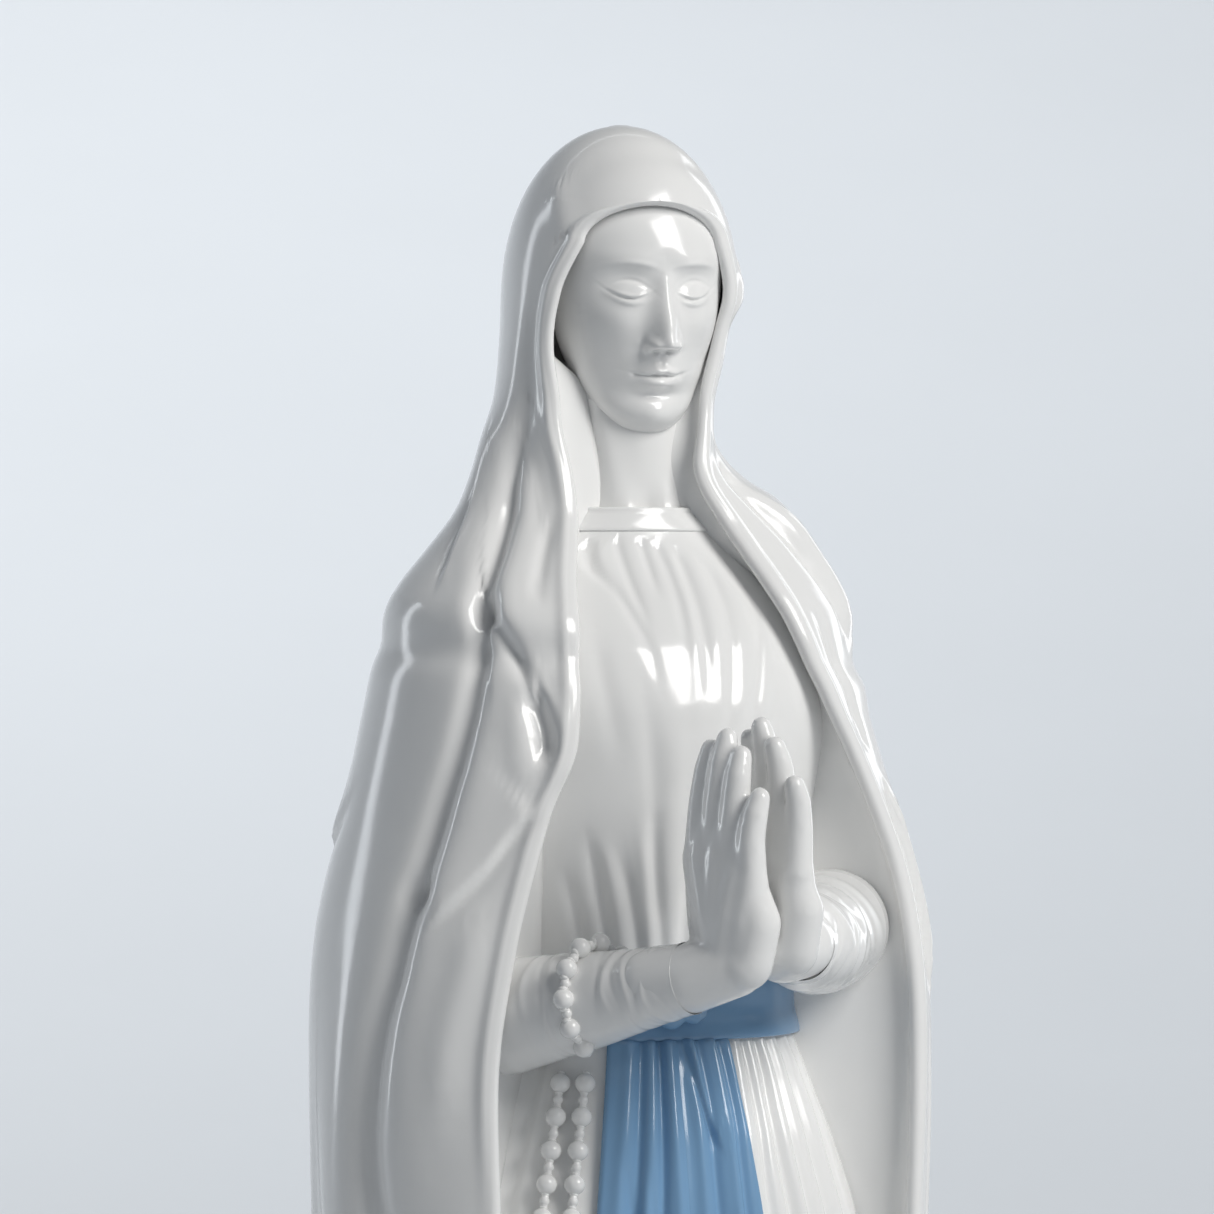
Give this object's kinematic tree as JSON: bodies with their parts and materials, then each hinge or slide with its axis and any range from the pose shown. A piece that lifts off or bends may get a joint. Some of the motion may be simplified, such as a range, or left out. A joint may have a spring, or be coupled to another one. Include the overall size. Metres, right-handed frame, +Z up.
{
  "type": "standing madonna statue",
  "caption": "Standing veiled woman in glazed porcelain with joined hands, long mantle, blue sash and moulded rosary, on a low rock base.",
  "frame": {"origin": "middle of the underside of the rock base", "axes": "+Z up through the figure, the figure faces -Y, the figure's right hand is on the -X side"},
  "size_m": [0.13, 0.114, 0.4],
  "materials": {
    "white_glaze": "glossy",
    "blue_glaze": "glossy",
    "gold_lustre": "satin",
    "rock_bisque": "matte"
  },
  "bodies": {
    "root": {"rock_base": "rock_bisque", "skirt": "white_glaze", "bodice": "white_glaze", "collar": "white_glaze", "head": "white_glaze", "hood": "white_glaze", "mantle_back": "white_glaze", "mantle_right_flap": "white_glaze", "mantle_left_flap": "white_glaze", "right_sleeve": "white_glaze", "left_sleeve": "white_glaze", "right_hand": "white_glaze", "left_hand": "white_glaze", "right_foot": "white_glaze", "left_foot": "white_glaze", "right_rose": "gold_lustre", "left_rose": "gold_lustre", "sash_band": "blue_glaze", "sash_knot": "blue_glaze", "sash_tail_right": "blue_glaze", "sash_tail_left": "blue_glaze", "rosary_arm_loop": "white_glaze", "rosary_inner_strand": "white_glaze", "rosary_outer_strand": "white_glaze", "rosary_medal": "white_glaze", "rosary_drop": "white_glaze", "crucifix": "white_glaze"}
  },
  "joints": []
}
